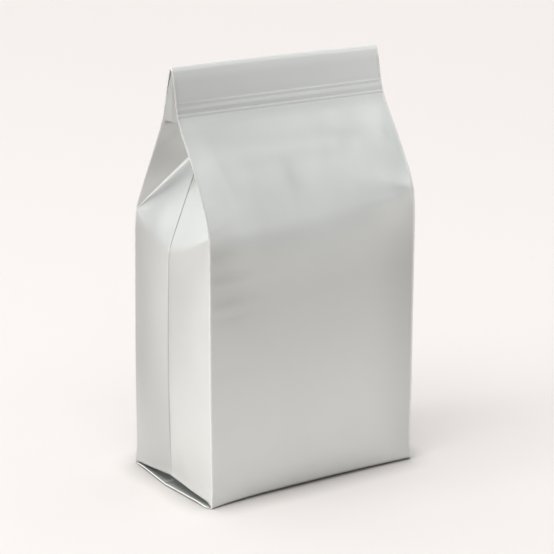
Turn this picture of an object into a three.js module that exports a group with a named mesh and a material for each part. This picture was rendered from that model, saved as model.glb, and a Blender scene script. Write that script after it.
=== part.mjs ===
// A side-gusset pouch of metallised film, filled and standing, with its header folded over to the back.
// Millimetres, +Z up. Origin: middle of the underside. The front panel faces -Y.
// The film is one closed skin. It is drawn as rings that climb the bag: from the seam in the middle of
// the underside, round the bottom folds and the two pleat mouths, up the walls, over the four shoulders,
// past the closing strip and the fold of the header, and down the flap behind to its cut end.

import * as THREE from 'three';
import { mergeVertices } from 'three/addons/utils/BufferGeometryUtils.js';

// ---- driving sizes ----
const PANEL_WIDTH = 110;          // front and back panels, crease to crease
const GUSSET_DEPTH = 66;          // side gussets, crease to crease
const SHOULDER_LEFT = 124;        // height of the left shoulders
const SHOULDER_RIGHT = 131;       // the right shoulders stand a little higher
const SEAL_HEIGHT = 172.6;        // lower edge of the closing strip
const FOLD_CENTRE = new THREE.Vector2(-0.35, 192.7);   // axis (Y, Z) of the header's fold
const FOLD_OUTER = 1.2;           // radius of the fold outside
const FOLD_INNER = 0.45;          // and inside, where the flap leaves the back
const RIDGE_BOW = 0.4;            // the ridge is this much higher in the middle
const FLAP_END = 175.4;           // height of the flap's cut end
const FLAP_SPREAD = 4.9;          // the cut end stands this far behind the fold

// the bottom edge at the left corners, the right corners and mid-panel
const FOOT_LIFTS = [0.15, 0.4, 0.9];   // height over the floor
const FOOT_ROLLS = [0.5, 1.6, 2.2];    // radius of the fold
const FOOT_SPLAY = 0.9;           // the four corners spread by this much at the foot
const SPLAY_HEIGHT = 10;
const LEAN_DEPTH = 1.9;           // the foot of a panel is drawn in this far under the fill
const LEAN_HEIGHT = 15;
const FOOT_BULGE = 2.2;           // the filled panels stand this proud at the foot
const WALL_BULGE = 3.4;           // and this proud where they are fullest
const FULLEST = 42;               // height where they are fullest
const UPPER_EASE = 1.6;           // and they ease back by this much up to the shoulders
const SLOPE_BULGE = 1.2;          // the sloping parts above the shoulders stand this proud
const SWELL_EASES = 155;          // above this height that swell eases to none at the strip
const SIDE_SPREAD = 0.3;          // the edge creases spread by this much half way up
const SPREAD_HEIGHTS = [5, 50, 115, 135];   // where the spread starts, is full, eases and ends
const SHOULDER_SOFTNESS = 13;     // half height over which the middle of a panel turns at the shoulder
const SOFT_BELOW = 160;           // the slope is straight above this height
const TURN_REACH = 10;            // the swell of the wall gives way to the slope's this near the shoulder

const LOBE_BULGE = 3.4;           // the two pillows of a gusset
const VALLEY_OUT = 1.3;           // the crease between them stands this far outside the corners
const CREASE_START = 112;         // where the left gusset's middle crease turns inward
const CREASE_Y = 1.2;             // the middle creases lie slightly behind the middle
const TENT_SAG = 1.3;             // exponent of the curved line where the gusset turns inward
const APEX_INWARD = 18;           // the tucked gusset's two diagonal folds meet this far in from the side
const APEX_RISE = 34;             // and this far above the shoulder
const PLEAT_DEPTH = GUSSET_DEPTH / 2;   // the pleat is half a gusset deep below the closing strip
const END_RECESS = 0.8;           // and a shallow hollow where the strip and the header shut it
const SHUT_WITHIN = 0.9;          // height over which it shuts
const HOLLOW_EASES = 178.6;       // the hollow grows shallow from this height
const PLEAT_TOP = 189.5;          // and is gone above this one

const TIP_OUT = 4;                // the underside's flaps end in a point this far outside the side wall
const TIP_RISE = 0.6;             // and curl up by this much
const LIP_START = 1.3;            // how far their front edges stand out beside the corner
const LIP_THICKNESS = 0.6;
const MOUTH_DEPTH = 3.2;          // depth of the open pleat under each gusset
const MOUTH_HEIGHT = 4.6;         // top of its arch above the floor
const ARCH_START = 1.5;           // height of the arch beside the front corners
const ARCH_SHARES = [0, 0.35, 0.8, 1];   // heights of the mouth's inner points, from lip to arch
const BACK_SHARE = 0.2;           // both have this share beside the back corners
const OPENS_WITHIN = 0.12;        // share of half a gusset over which the mouth opens from a corner
const SEAM_INSET = 7;             // the seam's creases stop this far short of the corners
const SEAM_TIP = 2;               // and its own ends reach this far past the panels' width

const RIB_HEIGHT = 0.18;          // the closing strip's two ribs
const GROOVE_DEPTH = 0.16;
const STRIP_END = 179.2;

// height, then distance from the middle plane, of the left panels' creased edges
const FRONT_EDGE = [[0, 34.6], [10, 33.4], [60, 32.8], [118, 32.4], [127, 31.8], [133, 29.3], [154, 17.9],
  [164, 10.7], [170, 6.9], [174, 5.3], [182, 3.8], [192.7, 1.55]];
const BACK_EDGE = [[0, 33.8], [60, 32.8], [118, 31.6], [124, 30.9], [130, 28.2], [158.5, 12.1], [170.6, 5.8],
  [177, 4.0], [184, 1.4], [189, -0.7], [192.7, -0.8]];
// height, then how much higher the same shape stands on the right
const RIGHT_LIFT = [[0, 0], [60, 0], [131, 6], [140, 4.5], [155, 2], [174, 1.6], [182, 0], [200, 0]];
// height, then how proud the front stands across the closing strip
const STRIP = [[SEAL_HEIGHT, -GROOVE_DEPTH], [173.2, RIB_HEIGHT], [SEAL_HEIGHT + SHUT_WITHIN, 0],
  [173.95, -GROOVE_DEPTH], [175.6, 0.08], [177.2, -GROOVE_DEPTH], [178.3, RIB_HEIGHT], [STRIP_END, 0]];

const PANEL_STEPS = 16;
const HALF_GUSSET_STEPS = 8;
const UNDERSIDE_ROWS = [0, 0.3, 0.6, 0.8, 0.92];
const ROLL_ANGLES = [0, 20, 40, 60, 90];
const WALL_ROWS = [0.06, 0.15, 0.28, 0.42, 0.56, 0.7, 0.84, 0.94];
const TENT_ROWS = [0, 0.25, 0.5, 0.75];
const UPPER_ROWS = [0, 0.12, 0.25, 0.38, 0.52, 0.66, 0.8, 0.92];
const HEADER_ROWS = [181.5, 184, 186.5, 188.3, PLEAT_TOP, 191];
const FOLD_ANGLES = [0, 30, 60, 90, 120, 150, 180];
const FLAP_ROWS = [0.25, 0.5, 0.75, 1];

const FRONT = -1, BACK = 1, LEFT = -1, RIGHT = 1;
const { lerp, clamp, smoothstep, degToRad } = THREE.MathUtils;

// ---- outline of the panels ----

// the value at a height of a list of [height, value] stations, eased between them
function along(stations, height) {
  let above = stations.findIndex(([station]) => station > height);
  if (above === -1) above = stations.length - 1;
  const below = Math.max(above - 1, 0);
  const [z0, v0] = stations[below];
  const [z1, v1] = stations[above];
  return lerp(v0, v1, clamp((height - z0) / Math.max(z1 - z0, 1), 0, 1));
}

// distance of a panel's creased edge from the middle plane, on the left (u = 0) or right (u = 1)
function edgeDistance(half, u, z) {
  const stations = half === FRONT ? FRONT_EDGE : BACK_EDGE;
  return lerp(along(stations, z), along(stations, z - along(RIGHT_LIFT, z)), u);
}

const shoulderHeight = (u) => lerp(SHOULDER_LEFT, SHOULDER_RIGHT, u);
const softness = (u) => SHOULDER_SOFTNESS * Math.sin(Math.PI * u) ** 0.7;

// a foot measure between the two corners' values and the middle's
const acrossFoot = ([left, right, middle], u) =>
  lerp(lerp(left, right, u), middle, Math.sin(Math.PI * u) ** 0.6);
const footLift = (u) => acrossFoot(FOOT_LIFTS, u);
const rollRadius = (u) => acrossFoot(FOOT_ROLLS, u);
const footTop = (u) => footLift(u) + rollRadius(u);

function halfWidth(z) {
  const [start, full, eases, ends] = SPREAD_HEIGHTS;
  const waist = SIDE_SPREAD * smoothstep(z, start, full) * (1 - smoothstep(z, eases, ends));
  return PANEL_WIDTH / 2 + waist + FOOT_SPLAY * (1 - smoothstep(z, 0, SPLAY_HEIGHT));
}

// how proud a panel stands of the straight line between its edges
function bulge(u, z) {
  const onSlope = smoothstep(z, shoulderHeight(u) - TURN_REACH, shoulderHeight(u) + TURN_REACH);
  const wall = lerp(FOOT_BULGE, WALL_BULGE, smoothstep(z, 0, FULLEST))
    - UPPER_EASE * smoothstep(z, FULLEST, SHOULDER_LEFT);
  const height = lerp(wall, SLOPE_BULGE, onSlope) * (1 - smoothstep(z, SWELL_EASES, SEAL_HEIGHT));
  const lean = LEAN_DEPTH * clamp(1 - z / LEAN_HEIGHT, 0, 1) ** 2;
  return (height - lean) * Math.sin(Math.PI * u);
}

// a point of the front or back panel: the bend at the shoulder is softer away from the edges
function panelPoint(half, u, z) {
  const soft = softness(u);
  const distance = (edgeDistance(half, u, z - soft) + 2 * edgeDistance(half, u, z)
    + edgeDistance(half, u, z + soft)) / 4;
  const onStrip = half === FRONT && z >= SEAL_HEIGHT && z <= STRIP_END;
  const strip = onStrip ? along(STRIP, z) : 0;
  const proud = z > SOFT_BELOW ? edgeDistance(half, u, z) : distance;
  const x = lerp(-1, 1, u) * halfWidth(z);
  return new THREE.Vector3(x, half * (proud + bulge(u, z) + strip), z);
}

const sideEnd = (side) => (side === LEFT ? 0 : 1);
const cornerPoint = (side, half, z) => panelPoint(half, sideEnd(side), z);
const sideLift = (side) => shoulderHeight(sideEnd(side)) - SHOULDER_LEFT;

// ---- the rings ----
// Each ring is a pair of functions. panel(half, u) gives the front or back from left (0) to right (1),
// and gusset(side, half, t) gives half a gusset from its corner crease (0) to its middle crease (1).

function ringPoints({ panel, gusset }) {
  const points = [];
  const addPanel = (half, from) => {
    for (let i = 0; i < PANEL_STEPS; i++) points.push(panel(half, Math.abs(from - i / PANEL_STEPS)));
  };
  const addGusset = (side, firstHalf) => {
    for (let i = 0; i < HALF_GUSSET_STEPS; i++) {
      const t = i / HALF_GUSSET_STEPS;
      points.push(t === 0 ? panel(firstHalf, sideEnd(side)) : gusset(side, firstHalf, t));
    }
    for (let i = HALF_GUSSET_STEPS; i > 0; i--) points.push(gusset(side, -firstHalf, i / HALF_GUSSET_STEPS));
  };
  addPanel(FRONT, 0);
  addGusset(RIGHT, FRONT);
  addPanel(BACK, 1);
  addGusset(LEFT, BACK);
  return points;
}

// bottom fold of a panel: a quarter roll from the underside to the wall
function rollPoint(half, u, angle) {
  const radius = rollRadius(u);
  const turn = degToRad(angle);
  const point = panelPoint(half, u, footLift(u) + radius * (1 - Math.cos(turn)));
  point.y += half * radius * (Math.sin(turn) - 1);
  return point;
}

// the open pleat under a gusset: lip of the lower flaps, its top edge, floor end, roof end and arch
function mouthPoint(side, half, t, stage) {
  const corner = rollPoint(half, sideEnd(side), ROLL_ANGLES[stage]);
  const opened = smoothstep(t, 0, OPENS_WITHIN);
  const start = opened * (half === FRONT ? 1 : BACK_SHARE);
  const lip = TIP_RISE * smoothstep(t, 0, 0.3);
  const top = lip + LIP_THICKNESS * opened;
  const arch = lerp(ARCH_START * start, MOUTH_HEIGHT, t);
  const heights = [lip, ...ARCH_SHARES.map((share) => lerp(top, arch, share))];
  const rim = lerp(LIP_START * start, TIP_OUT - FOOT_SPLAY, t);
  const inner = -MOUTH_DEPTH * lerp(0.25 * opened, 1, t);
  const outward = [rim, rim, inner, inner - 0.4 * t, 0.3 * t];
  return new THREE.Vector3(corner.x + side * outward[stage], lerp(corner.y, CREASE_Y, t),
    corner.z * (1 - t) + heights[stage]);
}

const rollRing = (stage) => ({
  panel: (half, u) => rollPoint(half, u, ROLL_ANGLES[stage]),
  gusset: (side, half, t) => mouthPoint(side, half, t, stage),
});

// the underside closes from the bottom folds to the seam across its middle
function undersideRing(share) {
  const drawIn = (point, seamX) => new THREE.Vector3(lerp(seamX, point.x, share), point.y * share,
    point.z * share ** 4);
  const seamHalf = PANEL_WIDTH / 2 - SEAM_INSET;
  const seamEnd = PANEL_WIDTH / 2 + SEAM_TIP;
  const rim = rollRing(0);
  return {
    panel: (half, u) => drawIn(rim.panel(half, u), lerp(-seamHalf, seamHalf, u)),
    gusset: (side, half, t) => drawIn(rim.gusset(side, half, t), side * lerp(seamHalf, seamEnd, t)),
  };
}

// height of the line where a gusset stops standing and turns inward
const tentBase = (side, t) => CREASE_START + sideLift(side)
  + (SHOULDER_LEFT - CREASE_START) * (1 - t) ** TENT_SAG;

// the walls: two pillows with a valley between them on each gusset
function wallRing(share) {
  return {
    panel: (half, u) => panelPoint(half, u, lerp(footTop(u), shoulderHeight(u) - softness(u), share)),
    gusset: (side, half, t) => {
      const foot = mouthPoint(side, half, t, ROLL_ANGLES.length - 1);
      const z = lerp(foot.z, tentBase(side, t), share);
      const corner = cornerPoint(side, half, z);
      const swell = Math.sin(Math.PI * clamp(share, 0.02, 0.98)) ** 0.4;
      const out = (VALLEY_OUT * t ** 2 + LOBE_BULGE * Math.sin(Math.PI * t)) * swell;
      return new THREE.Vector3(corner.x + side * out, lerp(corner.y, CREASE_Y, t), z);
    },
  };
}

function diagonalPoint(side, half, t) {
  const shoulder = cornerPoint(side, half, shoulderHeight(sideEnd(side)));
  const apex = new THREE.Vector3(side * (PANEL_WIDTH / 2 - APEX_INWARD), CREASE_Y, shoulder.z + APEX_RISE);
  return shoulder.lerp(apex, t);
}

// the tucked gusset below its diagonal folds; all these rings meet in the shoulder corners
function tentRing(share) {
  const base = wallRing(1);
  const panelHeight = (u) => shoulderHeight(u) + softness(u) * lerp(-1, 1, share);
  return {
    panel: (half, u) => panelPoint(half, u, panelHeight(u)),
    gusset: (side, half, t) => base.gusset(side, half, t).lerp(diagonalPoint(side, half, t), share),
  };
}

function pleatPoint(side, half, t, z) {
  const corner = cornerPoint(side, half, z);
  const shut = smoothstep(z, SEAL_HEIGHT, SEAL_HEIGHT + SHUT_WITHIN);
  const depth = lerp(PLEAT_DEPTH, END_RECESS, shut) * (1 - smoothstep(z, HOLLOW_EASES, PLEAT_TOP));
  const middle = (cornerPoint(side, FRONT, z).y + cornerPoint(side, BACK, z).y) / 2;
  return corner.lerp(new THREE.Vector3(corner.x - side * depth, middle, z), t);
}

// above the diagonal folds the gusset lies against the sloping panels, up to the closing strip
function upperRing(share) {
  return {
    panel: (half, u) => panelPoint(half, u, lerp(shoulderHeight(u) + softness(u), SEAL_HEIGHT, share)),
    gusset: (side, half, t) => {
      const point = diagonalPoint(side, half, t).lerp(pleatPoint(side, half, t, SEAL_HEIGHT), share);
      const cornerHeight = lerp(shoulderHeight(sideEnd(side)), SEAL_HEIGHT, share);
      const straight = diagonalPoint(side, half, 0).lerp(cornerPoint(side, half, SEAL_HEIGHT), share);
      const offLine = cornerPoint(side, half, cornerHeight).sub(straight);
      return point.addScaledVector(offLine, (1 - t) ** 2);
    },
  };
}

const headerRing = (z) => ({
  panel: (half, u) => panelPoint(half, u, z),
  gusset: (side, half, t) => pleatPoint(side, half, z < PLEAT_TOP ? t : 1, z),
});

// a ring of the folded header: the front sheet runs outside, the back sheet inside
function bundleRing(place) {
  const bundlePoint = (u, radius) => {
    const [y, z] = place(radius);
    return new THREE.Vector3(lerp(-1, 1, u) * PANEL_WIDTH / 2, y, z + RIDGE_BOW * Math.sin(Math.PI * u));
  };
  const radiusOf = (half) => (half === FRONT ? FOLD_OUTER : FOLD_INNER);
  return {
    panel: (half, u) => bundlePoint(u, radiusOf(half)),
    gusset: (side) => bundlePoint(sideEnd(side), (FOLD_OUTER + FOLD_INNER) / 2),
  };
}

const foldRing = (angle) => bundleRing((radius) => {
  const turn = degToRad(angle);
  return [FOLD_CENTRE.x - radius * Math.cos(turn), FOLD_CENTRE.y + radius * Math.sin(turn)];
});

const flapRing = (share) => bundleRing((radius) => [
  FOLD_CENTRE.x + radius + FLAP_SPREAD * share,
  lerp(FOLD_CENTRE.y, FLAP_END, share),
]);

// the flap's cut end: every point drawn to the middle of the film bundle
function cutEndRing() {
  const middle = (FOLD_OUTER + FOLD_INNER) / 2;
  const line = bundleRing(() => [FOLD_CENTRE.x + middle + FLAP_SPREAD, FLAP_END]);
  return { panel: (half, u) => line.panel(FRONT, u), gusset: (side) => line.gusset(side) };
}

const rings = [
  ...UNDERSIDE_ROWS.map(undersideRing),
  ...ROLL_ANGLES.map((angle, stage) => rollRing(stage)),
  ...WALL_ROWS.map(wallRing),
  ...TENT_ROWS.map(tentRing),
  ...UPPER_ROWS.map(upperRing),
  ...STRIP.map(([z]) => headerRing(z)),
  ...HEADER_ROWS.map(headerRing),
  ...FOLD_ANGLES.map(foldRing),
  ...FLAP_ROWS.map(flapRing),
  cutEndRing(),
];

// ---- the skin ----

// joins neighbouring rings with triangles and drops those that meet in a point
function skinGeometry(ringList) {
  const count = ringList[0].length;
  const positions = ringList.flat().flatMap((point) => point.toArray());
  const indices = [];
  for (let row = 0; row + 1 < ringList.length; row++) {
    for (let i = 0; i < count; i++) {
      const next = (i + 1) % count;
      const a = row * count + i;
      const b = row * count + next;
      indices.push(a, b, b + count, a, b + count, a + count);
    }
  }
  const loose = new THREE.BufferGeometry();
  loose.setAttribute('position', new THREE.Float32BufferAttribute(positions, 3));
  loose.setIndex(indices);
  const merged = mergeVertices(loose, 1e-3);
  const corners = merged.index.array;
  const kept = [];
  for (let i = 0; i < corners.length; i += 3) {
    const [a, b, c] = corners.slice(i, i + 3);
    if (a !== b && b !== c && c !== a) kept.push(a, b, c);
  }
  merged.setIndex(kept);
  merged.computeVertexNormals();
  return merged;
}

const film = new THREE.MeshStandardMaterial({ color: '#c9c9c6', roughness: 0.4, metalness: 1 });
const bag = new THREE.Mesh(skinGeometry(rings.map(ringPoints)), film);
bag.name = 'bag';

const group = new THREE.Group();
group.add(bag);

export default group;
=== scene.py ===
"""A filled side-gusset bag of satin metallised film, standing on a pale studio floor.

The bag is one closed skin, worked out with numpy from the sizes in BagSizes and the named values after them,
in the bag's own frame: X to the right, Y to the back, Z up, and the origin in the middle of the underside.
"""

import math

import bpy
import numpy as np
from mathutils import Matrix, Vector


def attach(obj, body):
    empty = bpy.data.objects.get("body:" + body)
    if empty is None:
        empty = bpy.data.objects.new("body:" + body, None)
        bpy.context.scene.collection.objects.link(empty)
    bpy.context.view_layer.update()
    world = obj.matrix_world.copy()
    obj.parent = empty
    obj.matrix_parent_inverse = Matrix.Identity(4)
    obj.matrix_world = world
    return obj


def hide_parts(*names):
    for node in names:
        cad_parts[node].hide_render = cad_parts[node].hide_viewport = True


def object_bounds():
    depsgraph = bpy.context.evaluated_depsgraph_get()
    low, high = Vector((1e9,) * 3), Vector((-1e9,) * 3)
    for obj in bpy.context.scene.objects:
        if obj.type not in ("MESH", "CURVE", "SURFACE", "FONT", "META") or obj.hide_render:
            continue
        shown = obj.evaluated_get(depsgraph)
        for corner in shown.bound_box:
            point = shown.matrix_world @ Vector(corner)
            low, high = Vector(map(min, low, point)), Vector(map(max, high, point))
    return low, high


bl_info = {
    "name": "Gusseted Film Bag",
    "version": (1, 0, 0),
    "blender": (4, 5, 0),
    "location": "View3D > Sidebar > Bag",
    "description": "Builds a filled side-gusset bag of metallised film in a plain studio",
    "category": "Object",
}

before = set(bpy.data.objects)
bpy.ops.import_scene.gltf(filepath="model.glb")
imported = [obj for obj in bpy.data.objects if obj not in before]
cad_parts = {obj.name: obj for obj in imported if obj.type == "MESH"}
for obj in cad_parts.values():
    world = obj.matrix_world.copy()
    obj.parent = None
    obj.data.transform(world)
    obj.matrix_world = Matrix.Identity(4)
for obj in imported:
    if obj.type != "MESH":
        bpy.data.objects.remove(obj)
CAD_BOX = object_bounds()

MM = 0.001
PANEL_WIDTH = 0.110         # in metres, crease to crease
FRONT, BACK = -1, 1         # the direction along Y of each panel
CORE = 0                    # midway between the header's front and back sheets
LEFT, RIGHT = -1, 1         # the direction along X of each gusset


# ---------------------------------------------------------------- settings

class BagSizes(bpy.types.PropertyGroup):
    """The filled bag's sizes."""

    panel_width: bpy.props.FloatProperty(
        name="Panel width", description="Front and back panel, crease to crease",
        default=PANEL_WIDTH, min=0.05, max=0.3, unit="LENGTH")
    shoulder_left: bpy.props.FloatProperty(
        name="Left shoulder", description="Height of the left shoulders",
        default=0.124, min=0.05, max=0.3, unit="LENGTH")
    shoulder_right: bpy.props.FloatProperty(
        name="Right shoulder", description="Height of the right shoulders, where the fill stands higher",
        default=0.131, min=0.05, max=0.3, unit="LENGTH")
    strip_height: bpy.props.FloatProperty(
        name="Closing strip", description="Height of the lower edge of the ribbed closing strip",
        default=0.1726, min=0.05, max=0.4, unit="LENGTH")
    ridge_height: bpy.props.FloatProperty(
        name="Ridge", description="Top of the folded header, as the frame gives it",
        default=CAD_BOX[1].z, min=0.05, max=0.4, unit="LENGTH")
    flap_end: bpy.props.FloatProperty(
        name="Flap end", description="Height of the cut end of the flap behind",
        default=0.1754, min=0.05, max=0.4, unit="LENGTH")
    wall_bulge: bpy.props.FloatProperty(
        name="Wall bulge", description="How proud the filled panels stand in the middle",
        default=0.0034, min=0.0, max=0.01, unit="LENGTH")
    lobe_bulge: bpy.props.FloatProperty(
        name="Gusset pillows", description="How proud the two pillows of a gusset stand",
        default=0.0034, min=0.0, max=0.01, unit="LENGTH")
    tip_out: bpy.props.FloatProperty(
        name="Bottom points", description="How far the points of the underside's flaps stand out",
        default=CAD_BOX[1].x - PANEL_WIDTH / 2, min=0.0, max=0.02, unit="LENGTH")


class FilmFinish(bpy.types.PropertyGroup):
    """The film's finish."""

    # the film's colour, the palest of the light and shade painted into it
    colour: bpy.props.StringProperty(
        name="Film colour", description="sRGB colour of the metallised film", default="#E7E9E7")
    # pale colour along rubbed creases: partly real wear of the lacquer and partly a painted highlight on the
    # edges
    worn_highlight_colour: bpy.props.StringProperty(
        name="Crease colour", description="sRGB colour of the film along its worn creases", default="#F0F0ED")
    # darkest colour of the light and shade painted into the film
    painted_shade_colour: bpy.props.StringProperty(
        name="Tight colour", description="sRGB colour of the film where it is drawn tight", default="#B5B7B5")
    # painted shade: colour of the dark line painted into the gussets' inward crease
    crease_shade_colour: bpy.props.StringProperty(
        name="Pinch colour", description="sRGB colour inside the gussets' sharp inward crease",
        default="#868786")
    roughness: bpy.props.FloatProperty(
        name="Roughness", description="Satin of the film's matt lacquer",
        default=0.42, min=0.0, max=1.0, subtype="FACTOR")
    slack: bpy.props.FloatProperty(
        name="Slack", description="Height of the film's soft random swellings",
        default=0.00012, min=0.0, max=0.002, unit="LENGTH")


class StageLook(bpy.types.PropertyGroup):
    """Floor, lights and camera."""

    floor_colour: bpy.props.StringProperty(
        name="Floor colour", description="sRGB colour of the paper floor", default="#EFEAE7")
    contact_colour: bpy.props.StringProperty(
        name="Contact colour", description="sRGB colour of the paper right beside the bag", default="#A09D98")
    contact_reach: bpy.props.FloatProperty(
        name="Contact shadow", description="How far the floor's contact shadow reaches from the bag",
        default=0.014, min=0.0, max=0.2, unit="LENGTH")
    room_colour: bpy.props.StringProperty(
        name="Room colour", description="sRGB colour of the even light from all sides", default="#FFFFFF")
    room_strength: bpy.props.FloatProperty(
        name="Room light", description="Strength of the even light from all sides", default=0.40, min=0.0)
    azimuth: bpy.props.FloatProperty(
        name="Camera azimuth",
        description="Turn of the camera round the bag, from the front towards its right",
        default=math.radians(-33.7), subtype="ANGLE")
    pitch: bpy.props.FloatProperty(
        name="Camera pitch", description="How far the camera looks down",
        default=math.radians(16.51), subtype="ANGLE")
    roll: bpy.props.FloatProperty(
        name="Camera roll", description="Turn of the camera about its view",
        default=math.radians(0.30), subtype="ANGLE")
    distance: bpy.props.FloatProperty(
        name="Camera distance", description="From the point looked at", default=0.937, unit="LENGTH")
    focal_pixels: bpy.props.FloatProperty(
        name="Focal length in pixels", description="Focal length in pixels of the square picture",
        default=2037.0)


# ---------------------------------------------------------------- the bag's form
#
# Lengths are in mm and heights are over the floor. "Proud" is outward from the surface. A pair of heights
# says where something begins to change and where the change is complete.

# height, then distance from the middle plane, of the left panels' creased edges
FRONT_EDGE = [(0, 34.6), (10, 33.4), (60, 32.8), (118, 32.4), (127, 31.8), (133, 29.3), (154, 17.9),
              (164, 10.7), (170, 6.9), (174, 5.3), (182, 3.8), (192.7, 1.55)]
BACK_EDGE = [(0, 33.8), (60, 32.8), (118, 31.6), (124, 30.9), (130, 28.2), (158.5, 12.1), (170.6, 5.8),
             (177, 4.0), (184, 1.4), (189, -0.7), (192.7, -0.8)]
# height, then how much higher the same shape stands on the right
RIGHT_LIFT = [(0, 0), (60, 0), (131, 6), (140, 4.5), (155, 2), (174, 1.6), (182, 0), (200, 0)]

# blurs that soften these lines: crisp at the left creases, rounder at the right ones and soft mid-panel
CRISP_BLUR, ROUND_BLUR, SOFT_BLUR = 2.0, 3.5, 12.0
LIFT_BLUR = 5.0
BLUR_CUT = 4                # a blur is cut off this many of its own widths away
PROFILE_REACH = (-60.0, 280.0)      # the lines are worked out well past both ends of the bag
PROFILE_STEP = 0.25

SHOULDER_SOFTNESS = 14.0    # half height, mid-panel, of the rings that turn round the shoulder
SOFTNESS_POWER = 0.7        # exponent of the sine by which it falls towards the edges
SOFT_WITHIN = (0.25, 0.42)  # share of a panel over which its shoulder softens from the left and right edges
SOFT_POWER = 1.6            # exponent of that softening
SOFT_ENDS = (148.0, 170.0)  # over these heights the slope grows as crisp as its edges
SOFT_LIFT = 0.4             # the soft line mid-panel is raised by only this share of the lift on the right
SHOULDER_DROP = 6.0         # mid-panel the shoulder turns this much lower than at the edges
DROP_ENDS = (120.0, 172.0)

FOOT_BULGE = 2.2            # the filled panels stand this proud at the foot
FULLEST = 42.0              # height where they are fullest
UPPER_EASE = 1.6            # and they ease back by this much up to the shoulders
EASED = 122.0               # height where that is complete
SLOPE_BULGE = 1.2           # the sloping parts above the shoulders stand this proud
TURN_REACH = 10.0           # the swell of the wall gives way to the slope's this near the shoulder
SWELL_EASES = 155.0         # above this height that swell eases to none at the strip
SLOPE_CROWN = 0.9           # the slope swells by this much more in its upper part
CROWN_START = 125.0         # and that swell grows from this height
CROWN_PEAK = 4 / 27         # greatest value of the curve that it follows, s^2 (1 - s)

SIDE_SPREAD = 0.3           # the edge creases spread by this much half way up
SPREAD_STARTS, SPREAD_ENDS = (5.0, 50.0), (115.0, 135.0)
FOOT_SPLAY = 0.9            # the four corners spread by this much at the foot
SPLAY_HEIGHT = 10.0
LEAN_DEPTH = 1.9            # the foot of a panel is drawn in this far under the fill
LEAN_HEIGHT = 15.0
# the bottom edge: height over the floor, then the roll's radius, at the left and right corners and mid-panel
FOOT_LIFTS, FOOT_ROLLS = (0.15, 0.4, 0.9), (0.5, 1.6, 2.2)
FOOT_POWER = 0.6            # exponent of the sine between the corners' values and the middle's

BEAD_HEIGHT, BEAD_WIDTH = 0.22, 0.4     # the creased edges stand proud like a fine bead
BEAD_HOLLOW = 0.35          # the hollow beside it is this share of its height
HOLLOW_PLACE = 2.4          # and lies this many of its widths away
BEAD_STARTS, BEAD_ENDS = (0.5, 4.0), (188.0, 191.0)     # it comes in and fades over these heights

# the closing strip pressed across the front: height, how proud, and width of each rib or groove
STRIP_RIBS = [(178.3, 0.16, 0.45), (177.2, -0.14, 0.4), (175.6, 0.08, 0.6), (173.95, -0.14, 0.35),
              (173.2, 0.18, 0.4), (172.3, -0.16, 0.4)]
STRIP_END = 180.0           # the ribs lie below this height, where the bag's rings are close together
STRIP_MIDDLE = 176.4        # above this one the strip is pressed more lightly towards the left:
LIGHT_PRESS = 0.35          # to this share of its depth at the left edge
PRESS_WITHIN = 0.4          # and in full from this share of the panel

# soft folds of a panel, which the closing strip and the fill pull into the film: place (x, height), direction
# in degrees from upright, leaning right, half length and half width, and how proud
FRONT_FOLDS = [
    (19.0, 155.0, 16, 14.0, 6.0, 0.50),       # flute from the strip down the right half
    (47.0, 160.0, 14, 10.0, 5.0, 0.40),       # short flute beside the right edge
    (-9.0, 144.0, -10, 8.0, 4.0, -0.30),      # small dent in the middle
    (-42.0, 148.0, -15, 15.0, 4.0, -0.32),    # slanting trough down the left side
    (48.0, 147.0, 20, 11.0, 5.0, -0.16),      # slanting dent above the right shoulder
    (-40.0, 119.0, 70, 16.0, 7.0, 0.35),      # left shoulder's swelling
]
BACK_FOLDS = [
    (24.0, 158.0, 18, 22.0, 7.0, 0.50),       # two flutes from the folded header down the slope
    (-30.0, 156.0, -22, 18.0, 6.0, 0.45),
    (2.0, 140.0, 80, 18.0, 6.0, -0.25),       # shallow dent between them
    (44.0, 127.0, 60, 12.0, 6.0, 0.35),       # swelling of the right shoulder
]
FOLDS_WITHIN = 0.06         # the folds fade over this share of the panel towards its edges
FOLDS_EASE = 165.0          # and from this height up to the strip

# short puckers of the film beside a crease: height, how far they reach across the panel, how wide they are,
# and how proud
PUCKERS = [(113.6, 15, 2.8, 0.26), (102.6, 18, 3.0, 0.32), (91.5, 20, 2.6, 0.34), (87.6, 17, 2.4, -0.26),
           (64.0, 18, 3.2, -0.24), (41.0, 16, 3.2, -0.24), (29.0, 15, 3.2, 0.24), (19.5, 15, 2.8, 0.20)]
PUCKER_CREST = 3            # a pucker is highest at its reach divided by this
PUCKER_SLANT = 0.07         # and climbs by this much for each mm inward

HALF_GUSSET = 33.0          # from a corner crease to the middle crease
VALLEY_OUT = 1.3            # the middle crease stands this far outside the corners
PILLOW_SKEW = {FRONT: 0.9, BACK: 1.0}   # an exponent below 1 moves a pillow's crown towards the corner
SWELL_POWER = 0.4           # exponent of the sine by which a pillow swells over its height
SWELL_HELD = 0.02           # and which stays the same within this share of its ends
CREASE_GROOVE, CREASE_WIDTH = 0.35, 0.45    # depth and width of the groove between the pillows
CREASE_START = 112.0        # height where the left gusset's middle crease turns inward
CREASE_Y = 1.2              # the middle creases lie slightly behind the middle
TENT_SAG = 1.3              # exponent of the curved line where the gusset turns inward
TENT_SWELL = {FRONT: -0.15, BACK: 0.6}  # how proud a gusset's halves stand where they turn inward
APEX_INWARD = 18.0          # the tucked gusset's two diagonal folds meet this far in from the side
APEX_RISE = 34.0            # and this far above the shoulder
PLEAT_DEPTH = 16.0          # the tucked gusset is this deep at the closing strip
SHUTS_WITHIN = (0.89, 0.94)     # shares of the way up to the strip over which it shuts
END_RECESS = 0.8            # and a shallow hollow is left where it is shut
HOLLOW_EASES = 6.0          # the hollow grows shallow from this far above the strip's lower edge
PLEAT_TOP = 189.5           # and is gone above this height

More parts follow.
